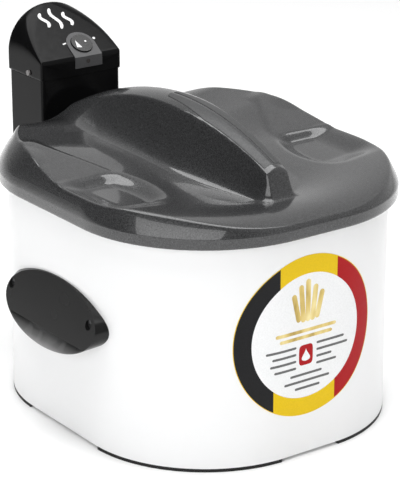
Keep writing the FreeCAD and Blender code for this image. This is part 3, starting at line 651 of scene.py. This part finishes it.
def lid_column(wall, core):
    """Points from inside the skirt, round its edge, up the wall and in to the core."""
    crease_z = crease_height(wall)
    x_c, y_c = wall(crease_z)
    in_notch = y_c > 0 and abs(x_c) < NOTCH_HALF
    bottom = NOTCH_BOTTOM if in_notch else LID_BOTTOM
    path = []
    for up, amount in SKIRT_ROLL:
        path.append((*inward(wall(bottom + up), amount), bottom + up))
    levels = [max(z, bottom + 0.9 + 0.02 * n) for n, z in enumerate(SKIRT_LEVELS)]
    skirt_end, wall_end = levels[-1], crease_z - CREASE_DROP
    levels += [mix(skirt_end, wall_end, n / WALL_LEVELS) for n in range(1, WALL_LEVELS + 1)]
    for z in levels:
        path.append((*wall(z), z))

    away = math.hypot(core[0] - x_c, core[1] - y_c)
    first = min(CREASE_REACH, 0.5 * away / RINGS * 3)
    ux, uy = (core[0] - x_c) / away, (core[1] - y_c) / away
    x1, y1 = x_c + ux * first, y_c + uy * first
    below = Vector(path[-1])
    crease = Vector((x_c, y_c, crease_z))
    beyond = Vector((x1, y1, lid_top(x1, y1)))
    for n in range(1, CREASE_STEPS):
        t = n / CREASE_STEPS
        path.append(tuple(below * (1 - t) ** 2 + crease * (2 * t * (1 - t)) + beyond * t * t))
    for n in range(RINGS):
        x = mix(x1, core[0], n / RINGS)
        y = mix(y1, core[1], n / RINGS)
        path.append((x, y, lid_top(x, y)))
    return path


def lid_mesh():
    """The lid's outer skin, with finer cells at the crest and at the ridge's front."""
    xs = spaced(-CORE_X, CORE_X, CELLS_X, lambda x: 1 + 1.4 * math.exp(-(x / 14.0) ** 2))
    ys = spaced(-CORE_Y, CORE_Y, CELLS_Y, lambda y: 1 + 1.6 * math.exp(-((y + 118) / 9.0) ** 2))
    loops = []
    for plan in (LID_RIM, LID_SHOULDER, LID_CROWN):
        loops.append(whole_outline(quarter_outline(plan), plan[:2]))
    border = core_border()

    bm = bmesh.new()
    columns = []
    for (i, j), rim, shoulder, crown in zip(border, *loops):
        path = lid_column(wall_line(rim, shoulder, crown), (xs[i], ys[j]))
        columns.append([bm.verts.new(place(*point)) for point in path])
    grid = {}
    for i, x in enumerate(xs):
        for j, y in enumerate(ys):
            grid[i, j] = bm.verts.new(place(x, y, lid_top(x, y)))
    for column, cell in zip(columns, border):
        column.append(grid[cell])
    strip_faces(bm, list(zip(*columns)), closed=True)
    for i in range(CELLS_X):
        for j in range(CELLS_Y):
            bm.faces.new([grid[i, j], grid[i + 1, j], grid[i + 1, j + 1], grid[i, j + 1]])
    return new_object("lid_skin", bm, [MATERIAL["lid"]], "lid", ["lid_shell"])


INLAY_FRONT = -108.0
INLAY_REAR = 34.0
INLAY_INNER = 1.5
INLAY_ROWS = 120
INLAY_END_ROLL = 1.2
# The strip's outer edge, as (y, x) from front to rear.
INLAY_OUTER = ((INLAY_FRONT, 9.0), (-30.0, 13.0), (30.0, 8.0), (INLAY_REAR, 1.5))
# The strip's section: share of its width, and height above the lid.
INLAY_LOW = 0.03
INLAY_SECTION = ((0.0, INLAY_LOW), (0.0, 0.3), (0.04, 0.44), (0.12, 0.49), (0.3, 0.5), (0.5, 0.5),
                 (0.7, 0.5), (0.88, 0.49), (0.96, 0.44), (1.0, 0.3), (1.0, INLAY_LOW))


def inlay_width(y):
    """Outer edge of a grip inlay along the ridge."""
    for (y0, x0), (y1, x1) in zip(INLAY_OUTER, INLAY_OUTER[1:]):
        if y < y1:
            break
    return mix(x0, x1, (y - y0) / (y1 - y0))


def grip_inlay(side, name):
    """A textured strip beside the crest, with its edges rolled over."""
    bm = bmesh.new()
    rows = []
    for j in range(INLAY_ROWS + 1):
        y = INLAY_FRONT + (INLAY_REAR - INLAY_FRONT) * j / INLAY_ROWS
        end = min(1.0, (y - INLAY_FRONT) / INLAY_END_ROLL, (INLAY_REAR - y) / INLAY_END_ROLL)
        outer = max(INLAY_INNER + 0.3, inlay_width(y))
        row = []
        for across, lift in INLAY_SECTION:
            x = mix(INLAY_INNER, outer, across)
            rise = INLAY_LOW + (lift - INLAY_LOW) * math.sqrt(clamp(end))
            row.append(bm.verts.new(place(side * x, y, lid_top(x, y) + rise)))
        rows.append(row)
    strip_faces(bm, rows)
    return new_object(name + "_skin", bm, [MATERIAL["inlay"]], "lid", [name])


# ---------------------------------------------------------------- raised prints
# A print's edge starts this high over the surface, and no strip gets narrower than this.
PRINT_FOOT = 0.02
THINNEST = 0.02


def coloured_strip(bm, rows, index):
    """A strip of faces that has one of its mesh's materials."""
    first = len(bm.faces)
    strip_faces(bm, rows)
    bm.faces.ensure_lookup_table()
    for face in bm.faces[first:]:
        face.material_index = index


def ribbon(bm, surface, path, widths, out, index=0):
    """A raised strip of varying half width along a path on a surface."""
    rows = []
    count = len(path)
    for k, (u, v) in enumerate(path):
        before = path[max(0, k - 1)]
        after = path[min(count - 1, k + 1)]
        du, dv = after[0] - before[0], after[1] - before[1]
        size = math.hypot(du, dv) or 1.0
        nu, nv = -dv / size * widths[k], du / size * widths[k]
        row = []
        for across, height in ((-1, PRINT_FOOT), (-1, out), (-0.4, out), (0.4, out), (1, out),
                               (1, PRINT_FOOT)):
            row.append(bm.verts.new(surface(u + across * nu, v + across * nv, height)))
        rows.append(row)
    coloured_strip(bm, rows, index)


def rounded_run(a, b, half, steps=10):
    """Path and half widths of a bar with round ends."""
    length = math.hypot(b[0] - a[0], b[1] - a[1])
    ux, uy = (b[0] - a[0]) / length, (b[1] - a[1]) / length
    offsets = [half * (1 - math.cos(0.5 * math.pi * k / 5)) for k in range(6)]
    along = offsets + [mix(half, length - half, k / steps) for k in range(1, steps)]
    along += [length - d for d in reversed(offsets)]
    path = [(a[0] + ux * d, a[1] + uy * d) for d in along]
    widths = []
    for d in along:
        edge = min(d, length - d, half)
        widths.append(max(THINNEST, math.sqrt(max(0.0, half ** 2 - (half - edge) ** 2))))
    return path, widths


# The housing's front wall: half its flat part, its corner radius and the corners' centre.
FRONT_FLAT = 25.5
FRONT_RADIUS = 114.5
FRONT_CENTRE_Y = -48.5
LABEL_S = -5.5
LABEL_Z = 107.5
LABEL_EDGE_OUT = 0.06


def on_front(s, z, out):
    """A point on the housing's front wall, at arc length s from its middle."""
    flat = min(abs(s), FRONT_FLAT)
    angle = (abs(s) - flat) / FRONT_RADIUS
    x = flat + (FRONT_RADIUS + out) * math.sin(angle)
    y = FRONT_CENTRE_Y - (FRONT_RADIUS + out) * math.cos(angle)
    return place(math.copysign(x, s), y, z)


def label_sector(bm, radii, start, end, out, index, count):
    """Part of a ring on the label, between two bounds given for each radius."""
    rows = []
    last = len(radii) - 1
    for k, radius in enumerate(radii):
        height = LABEL_EDGE_OUT if k in (0, last) and radius > 1.0 else out
        row = []
        for i in range(count + 1):
            angle = mix(start(radius), end(radius), i / count)
            s = LABEL_S + radius * math.cos(angle)
            z = LABEL_Z + radius * math.sin(angle)
            row.append(bm.verts.new(on_front(s, z, height)))
        rows.append(row)
    coloured_strip(bm, rows, index)


# The label's inks, in the order of its materials.
LABEL_INKS = ("label_yellow", "label_white", "label_black", "label_red", "label_gold",
              "label_grey")
YELLOW, WHITE, BLACK, RED, GOLD, GREY = range(len(LABEL_INKS))
# Radii from the label's middle out; a repeated last radius is the film's cut edge.
FILM_RADII = [0.5 + 2.47 * k for k in range(28)] + [69.6, 69.9, 69.9]
DISC_RADII = [0.5 + 2.98 * k for k in range(18)] + [54.0, 54.2, 54.2]
RING_RADII = [54.0, 54.1, 56.0, 59.0, 62.0, 65.0, 68.0, 69.3, 69.4]
# Where the ring's colours change, measured across the label from its middle.
BLACK_TOP, BLACK_FOOT = -28.5, -34.0
RED_TOP, RED_FOOT = 30.0, 29.3
# How far each layer stands out of the housing.
FILM_OUT, DISC_OUT, RING_OUT, MARK_OUT, GOLD_OUT, DROP_OUT = 0.24, 0.28, 0.29, 0.32, 0.33, 0.36
# Sticks run from (s, z) to (s, z); bars run from s to s at a height z.
STICKS = ((-14.5, 121, -20.5, 146), (-10, 120, -13, 153), (-5.5, 120, -5.5, 157),
          (-1, 120, 2.5, 151), (3.5, 121, 9.5, 145))
STICK_HALF = 2.5
GOLD_BARS = ((-38.0, 24.0, 112.5), (-34.0, 20.0, 107.0))
GOLD_BAR_HALF = 1.5
GREY_BARS = ((-47, -17, 99), (-41, -17, 93), (-43, -17, 87), (-39, -17, 81),
             (4, 33, 99), (4, 37, 93), (4, 20, 87), (4, 25, 81),
             (-23, 10, 74), (-29, 18, 68), (-18, 8, 62))
GREY_BAR_HALF = 1.05
ICON_S = -7.0
ICON_Z = 91.0
ICON_HALF_W = 7.2
ICON_HALF_H = 9.0
ICON_STEPS = 12
DROP_FOOT = 85.5
DROP_HEIGHT = 11.0
DROP_HALF_W = 5.4
DROP_STEPS = 16


def front_label():
    """A round label with a three-colour ring, a gold emblem and plain bars."""
    bm = bmesh.new()
    whole = (lambda r: 0.0, lambda r: 2 * math.pi)
    label_sector(bm, FILM_RADII, *whole, FILM_OUT, YELLOW, 200)
    label_sector(bm, DISC_RADII, *whole, DISC_OUT, WHITE, 160)
    label_sector(bm, RING_RADII, lambda r: math.acos(BLACK_TOP / r),
                 lambda r: 2 * math.pi - math.acos(BLACK_FOOT / r), RING_OUT, BLACK, 90)
    label_sector(bm, RING_RADII, lambda r: -math.acos(RED_FOOT / r),
                 lambda r: math.acos(RED_TOP / r), RING_OUT, RED, 70)

    for s0, z0, s1, z1 in STICKS:
        path, widths = rounded_run((s0, z0), (s1, z1), STICK_HALF)
        ribbon(bm, on_front, path, widths, GOLD_OUT, GOLD)
    for left, right, z in GOLD_BARS:
        path, widths = rounded_run((left, z), (right, z), GOLD_BAR_HALF, 40)
        ribbon(bm, on_front, path, widths, GOLD_OUT, GOLD)
    for left, right, z in GREY_BARS:
        path, widths = rounded_run((left, z), (right, z), GREY_BAR_HALF, 24)
        ribbon(bm, on_front, path, widths, MARK_OUT, GREY)

    icon_path = []
    icon_half = []
    for k in range(-ICON_STEPS, ICON_STEPS + 1):
        z = ICON_Z + ICON_HALF_H * math.sin(0.5 * math.pi * k / ICON_STEPS)
        icon_path.append((ICON_S, z))
        share = 1 - abs((z - ICON_Z) / ICON_HALF_H) ** 5
        icon_half.append(max(THINNEST, ICON_HALF_W * share ** 0.2))
    ribbon(bm, on_front, icon_path, icon_half, MARK_OUT, RED)

    drop_path = []
    drop_half = []
    for k in range(DROP_STEPS + 1):
        t = k / DROP_STEPS
        drop_path.append((ICON_S, DROP_FOOT + DROP_HEIGHT * k / DROP_STEPS))
        swell = math.sqrt(math.sin(math.pi * t ** 0.6) ** 2)
        drop_half.append(max(THINNEST, DROP_HALF_W * swell * (1 - 0.75 * t)))
    ribbon(bm, on_front, drop_path, drop_half, DROP_OUT, WHITE)
    return new_object("round_label", bm, [MATERIAL[name] for name in LABEL_INKS], "housing",
                      ["front_label"], flat=True)


# ---------------------------------------------------------------- head
CAP_HALF = 43.0
CAP_FRONT = 177.0
CAP_REAR = 235.0
CAP_DEPTH = CAP_REAR - CAP_FRONT
CAP_RISE = 40.4
CAP_SLOPE = math.atan2(CAP_RISE, CAP_DEPTH)
# The rolled lower edge of the cap: distance in from its side, and height.
CAP_SEAM = ((0.9, 249.6), (0.35, 249.75), (0.0, 250.5))
# The cap's flat ends close on this height.
CAP_END_Z = 249.6
FRONT_ROLL = 2.4
REAR_ROLL = 1.6
ROLL_STEPS = 8
CAP_STEPS = 40
END_RINGS = 6


def cap_shape(t):
    """The cap's corner reach, wall top, rise and squareness, a share t of the way back."""
    return 2.5 + 40.5 * t ** 2.0, 264.0 + 2.0 * t, 2.0 + (CAP_RISE - 2.0) * t, 3.2 - 1.2 * t


def cap_section(t, inset):
    """Half of the cap's cross-section, from the seam up to the middle of its top."""
    width = CAP_HALF - inset
    corner, wall_top, rise, squareness = cap_shape(t)
    flat = CAP_HALF - corner
    rise -= inset
    power = 2.0 / squareness
    points = [(width - across, z) for across, z in CAP_SEAM]
    wall_foot = CAP_SEAM[-1][1]
    points += [(width, mix(wall_foot, wall_top, k / 10)) for k in range(1, 10)]
    for k in range(29):
        angle = 0.5 * math.pi * k / 28
        points.append((flat + (corner - inset) * math.cos(angle) ** power,
                       wall_top + rise * math.sin(angle) ** power))
    points += [(flat * (1 - k / 16), wall_top + rise) for k in range(1, 17)]
    return points


def cap_stations():
    """Places along the cap as (y, inset): its two ends are rolled over."""
    turns = [0.5 * math.pi * k / ROLL_STEPS for k in range(ROLL_STEPS + 1)]
    front = CAP_FRONT + FRONT_ROLL
    rear = CAP_REAR - REAR_ROLL
    stations = []
    for turn in turns:
        stations.append((CAP_FRONT + FRONT_ROLL * (1 - math.cos(turn)),
                         FRONT_ROLL * (1 - math.sin(turn))))
    stations += [(mix(front, rear, k / CAP_STEPS), 0.0) for k in range(1, CAP_STEPS)]
    for turn in turns:
        stations.append((CAP_REAR - REAR_ROLL * (1 - math.sin(turn)),
                         REAR_ROLL * (1 - math.cos(turn))))
    return stations


def closed_end(edge):
    """Rings that close an end of the cap, from its edge in."""
    rings = []
    for k in range(1, END_RINGS + 1):
        t = 1 - k / END_RINGS
        rings.append([(x * t, y, CAP_END_Z + (z - CAP_END_Z) * t) for x, y, z in edge])
    return rings


def head_cap():
    """The control head's cap with a smooth top and rolled edges."""
    rows = []
    for y, inset in cap_stations():
        half = cap_section(clamp((y - CAP_FRONT) / CAP_DEPTH), inset)
        whole = [(-x, z) for x, z in half[:-1]] + [(x, z) for x, z in reversed(half)]
        rows.append([(x, y, z) for x, z in whole])
    rows = closed_end(rows[0])[::-1] + rows + closed_end(rows[-1])
    bm = bmesh.new()
    strip_faces(bm, [[bm.verts.new(place(*point)) for point in row] for row in rows])
    bmesh.ops.remove_doubles(bm, verts=bm.verts, dist=1e-6)
    made = new_object("head_cap_skin", bm, [MATERIAL["head"]], "control_head", ["head_cap"])
    crisp(made.data, 50.0)
    return made


# The liner's flat flange stays put; what rises above it keeps this gap to the skin.
LINER_FLANGE_Z = 203.0
LINER_GAP = 5.0


def lid_liner():
    """The pressed liner under the lid, kept clear of the lid's own skin."""
    bm = bmesh.new()
    bm.from_mesh(frame["nodes"]["lid_liner"].data)
    bmesh.ops.remove_doubles(bm, verts=bm.verts, dist=2e-6)
    for vert in bm.verts:
        x = vert.co.x / MM
        y = vert.co.y / MM - SHIFT_Y
        z = vert.co.z / MM
        if z > LINER_FLANGE_Z:
            near = [lid_top(x + dx, y + dy) for dx in (-5, 0, 5) for dy in (-6, 0, 6)]
            vert.co.z = min(z, max(LINER_FLANGE_Z, min(near) - LINER_GAP)) * MM
    made = new_object("lid_liner_skin", bm, [MATERIAL["steel"]], "lid", ["lid_liner"])
    crisp(made.data)
    return made


def on_cap(x, up, out):
    """A point on the control head's sloping top, up its slope from the front edge."""
    along = up * math.cos(CAP_SLOPE)
    corner, wall_top, rise, squareness = cap_shape(along / CAP_DEPTH)
    side = clamp((abs(x) - CAP_HALF + corner) / corner)
    z = wall_top + rise * (1 - side ** squareness) ** (1 / squareness)
    return place(x, CAP_FRONT + along - out * math.sin(CAP_SLOPE), z + out * math.cos(CAP_SLOPE))


# The strokes of the heat symbol: across the cap, and from where to where up its slope.
HEAT_STROKES = ((-14.0, 40.0, 58.0), (-2.0, 36.0, 62.0), (10.0, 38.0, 55.0))
STROKE_WAVE = 2.4
STROKE_HALF = 1.75
STROKE_STEPS = 40


def heat_symbol():
    """Three plain wavy strokes on the cap, the generic sign for heat."""
    bm = bmesh.new()
    for centre, low, high in HEAT_STROKES:
        path = []
        widths = []
        for k in range(STROKE_STEPS + 1):
            t = k / STROKE_STEPS
            path.append((centre + STROKE_WAVE * math.sin(2 * math.pi * t), mix(low, high, t)))
            widths.append(STROKE_HALF * max(0.05, math.sqrt(1 - abs(2 * t - 1) ** 7)))
        ribbon(bm, on_cap, path, widths, 0.25)
    return new_object("heat_symbol", bm, [MATERIAL["mark_white"]], "control_head")


# ---------------------------------------------------------------- basket
def wire_tube(bm, points, radius, sides=6, closed=False):
    """A round wire through points."""
    count = len(points)
    rows = []
    up = Vector((0, 0, 1))
    for k, point in enumerate(points):
        if closed:
            ahead = points[(k + 1) % count] - points[k - 1]
        else:
            ahead = points[min(count - 1, k + 1)] - points[max(0, k - 1)]
        ahead.normalize()
        side = ahead.cross(up)
        if side.length < 0.2:
            side = ahead.cross(Vector((1, 0, 0)))
            if side.length < 0.2:
                side = ahead.cross(Vector((0, 1, 0)))
        side.normalize()
        other = side.cross(ahead)
        row = []
        for i in range(sides):
            angle = 2 * math.pi * i / sides
            offset = (side * math.cos(angle) + other * math.sin(angle)) * radius
            row.append(bm.verts.new(point + offset))
        rows.append(row)
    if closed:
        rows.append(rows[0])
    strip_faces(bm, rows, closed=True)


BASKET = (92.0, 100.0, 66.0)
BASKET_CY = -14.0
BASKET_TOP = 181.0
BASKET_PITCH = 7.6
FLOOR_Z = 74.8
FLOOR_BEND = 11.0
FIRST_RING_Z = 85.6
WIRE_RADIUS = 0.6
# The wires run this far inside the basket's outline.
WIRE_INSET = 0.75
WIRE_STEP = 3.8
# How far an upright swings in and out between the rings, from which height.
WEAVE = 0.28
WEAVE_Z = 78.0


def basket_half(value, half_a, half_b, radius):
    """Reach of the basket's outline along one axis at a place on the other."""
    flat = half_a - radius
    if abs(value) <= flat:
        return half_b
    return half_b - radius + math.sqrt(max(0.0, radius ** 2 - (abs(value) - flat) ** 2))


def upright_wire(bm, value, along_y, phase):
    """One wire down a wall of the basket, across its floor and up the far wall."""
    hx, hy, radius = BASKET
    if along_y:
        reach = basket_half(value, hx, hy, radius)
    else:
        reach = basket_half(value, hy, hx, radius)
    reach -= WIRE_INSET
    bend_top = FLOOR_Z + FLOOR_BEND
    count = int((BASKET_TOP - FLOOR_Z - FLOOR_BEND) / WIRE_STEP) + 1
    track = [(-reach, BASKET_TOP - WIRE_STEP * k) for k in range(count)]
    for k in range(1, 8):
        angle = 0.5 * math.pi * k / 8
        track.append((-reach + FLOOR_BEND * (1 - math.cos(angle)),
                      FLOOR_Z + FLOOR_BEND * (1 - math.sin(angle))))
    across = 2 * (reach - FLOOR_BEND)
    steps = max(2, int(across / WIRE_STEP))
    track += [(-reach + FLOOR_BEND + across * k / steps, FLOOR_Z) for k in range(steps + 1)]
    track += [(-a, z) for a, z in reversed(track[:len(track) - steps - 1])]
    points = []
    for a, z in track:
        if z > bend_top:
            weave = WEAVE * math.cos(math.pi * (z - WEAVE_Z) / BASKET_PITCH + phase)
            a -= math.copysign(weave + 0.05, a)
        x, y = (value, a) if along_y else (a, value)
        points.append(place(x, y + BASKET_CY, z))
    wire_tube(bm, points, WIRE_RADIUS * MM)


def basket_ring(bm, z):
    """One wire round the basket's walls."""
    half_x, half_y, radius = (size - WIRE_INSET for size in BASKET)
    quarter = [((half_x - radius) * k / 8, -half_y) for k in range(8)]
    for k in range(24):
        angle = 0.5 * math.pi * k / 24
        quarter.append((half_x - radius + radius * math.sin(angle),
                        -half_y + radius - radius * math.cos(angle)))
    quarter += [(half_x, (radius - half_y) * (1 - k / 8)) for k in range(8)]
    points = []
    for x, y in whole_outline(quarter, (half_x, half_y)):
        points.append(place(x, y + BASKET_CY, z))
    wire_tube(bm, points, WIRE_RADIUS * MM, closed=True)


def woven_basket():
    """The basket's wire cloth: uprights both ways and rings round the walls."""
    bm = bmesh.new()
    for n in range(-11, 12):
        upright_wire(bm, n * BASKET_PITCH, True, math.pi * n)
    for n in range(-12, 13):
        upright_wire(bm, n * BASKET_PITCH, False, math.pi * n)
    z = FIRST_RING_Z
    while z < BASKET_TOP:
        basket_ring(bm, z)
        z += BASKET_PITCH
    return new_object("woven_basket", bm, [MATERIAL["wire"]], "basket", ["basket_mesh"])


# ---------------------------------------------------------------- camera and light
CAMERA_PLACE = (-1.0461, -1.4779, 0.7908)
CAMERA_AIM = (0.5525, 0.7603, -0.3415)
SENSOR_WIDTH = 36.0
FOCAL_LENGTH = 165.06
# The room's light by its direction along X, as (direction, strength).
ROOM_DARK = (-0.4, 0.04)
ROOM_BRIGHT = (0.45, 0.62)
FLOOR_HALF = 8.0


def softbox(name, location, target, width, height, power):
    """A rectangular lamp that faces a target."""
    data = bpy.data.lights.new(name, "AREA")
    data.shape = "RECTANGLE"
    data.size = width
    data.size_y = height
    data.energy = power
    made = bpy.data.objects.new(name, data)
    made.location = location
    bpy.context.scene.collection.objects.link(made)
    made.rotation_mode = "QUATERNION"
    made.rotation_quaternion = (Vector(target) - made.location).to_track_quat("-Z", "Y")


def add_camera(scene):
    """A long lens that looks down on the fryer's front left corner."""
    data = bpy.data.cameras.new("camera")
    data.sensor_width = SENSOR_WIDTH
    data.lens = FOCAL_LENGTH
    data.clip_start = 0.05
    data.clip_end = 50.0
    camera = bpy.data.objects.new("camera", data)
    camera.location = CAMERA_PLACE
    scene.collection.objects.link(camera)
    camera.rotation_mode = "QUATERNION"
    camera.rotation_quaternion = Vector(CAMERA_AIM).to_track_quat("-Z", "Y")
    scene.camera = camera


def add_room(scene):
    """White light from all round, whose strength changes with the direction along X."""
    world = bpy.data.worlds.new("studio")
    world.use_nodes = True
    tree = world.node_tree
    background = tree.nodes["Background"]
    background.inputs["Color"].default_value = (1.0, 1.0, 1.0, 1.0)
    source = tree.nodes.new("ShaderNodeTexCoord")
    split = tree.nodes.new("ShaderNodeSeparateXYZ")
    reach = tree.nodes.new("ShaderNodeMapRange")
    reach.interpolation_type = "SMOOTHSTEP"
    set_range(reach, ROOM_DARK[0], ROOM_BRIGHT[0], ROOM_DARK[1], ROOM_BRIGHT[1])
    tree.links.new(source.outputs["Generated"], split.inputs["Vector"])
    tree.links.new(split.outputs["X"], reach.inputs["Value"])
    tree.links.new(reach.outputs["Result"], background.inputs["Strength"])
    scene.world = world


def add_floor(scene):
    """A pale floor, which belongs to the stage and not to the fryer."""
    bm = bmesh.new()
    bmesh.ops.create_grid(bm, x_segments=40, y_segments=40, size=FLOOR_HALF)
    mesh = bpy.data.meshes.new("floor")
    bm.to_mesh(mesh)
    bm.free()
    floor = bpy.data.objects.new("floor", mesh)
    mesh.materials.append(MATERIAL["floor"])
    scene.collection.objects.link(floor)


def studio():
    """Camera, room, floor and two lamps."""
    scene = bpy.context.scene
    add_camera(scene)
    add_room(scene)
    add_floor(scene)
    softbox("overhead", (-0.1, 0.1, 2.4), (0, 0, 0.1), 2.3, 2.6, 76.0)
    softbox("front", (-2.33, -1.59, 1.3), (0, 0, 0.15), 3.6, 1.8, 54.0)
    scene.view_settings.view_transform = "Standard"
    scene.view_settings.look = "None"


paint_frame()
lid_mesh()
grip_inlay(-1, "grip_inlay_left")
grip_inlay(1, "grip_inlay_right")
front_label()
heat_symbol()
woven_basket()
head_cap()
lid_liner()
softened("head_body", 1.2)
softened("dial_bezel", 0.6)
softened("side_handle_left", 1.2)
softened("side_handle_right", 1.2)
studio()
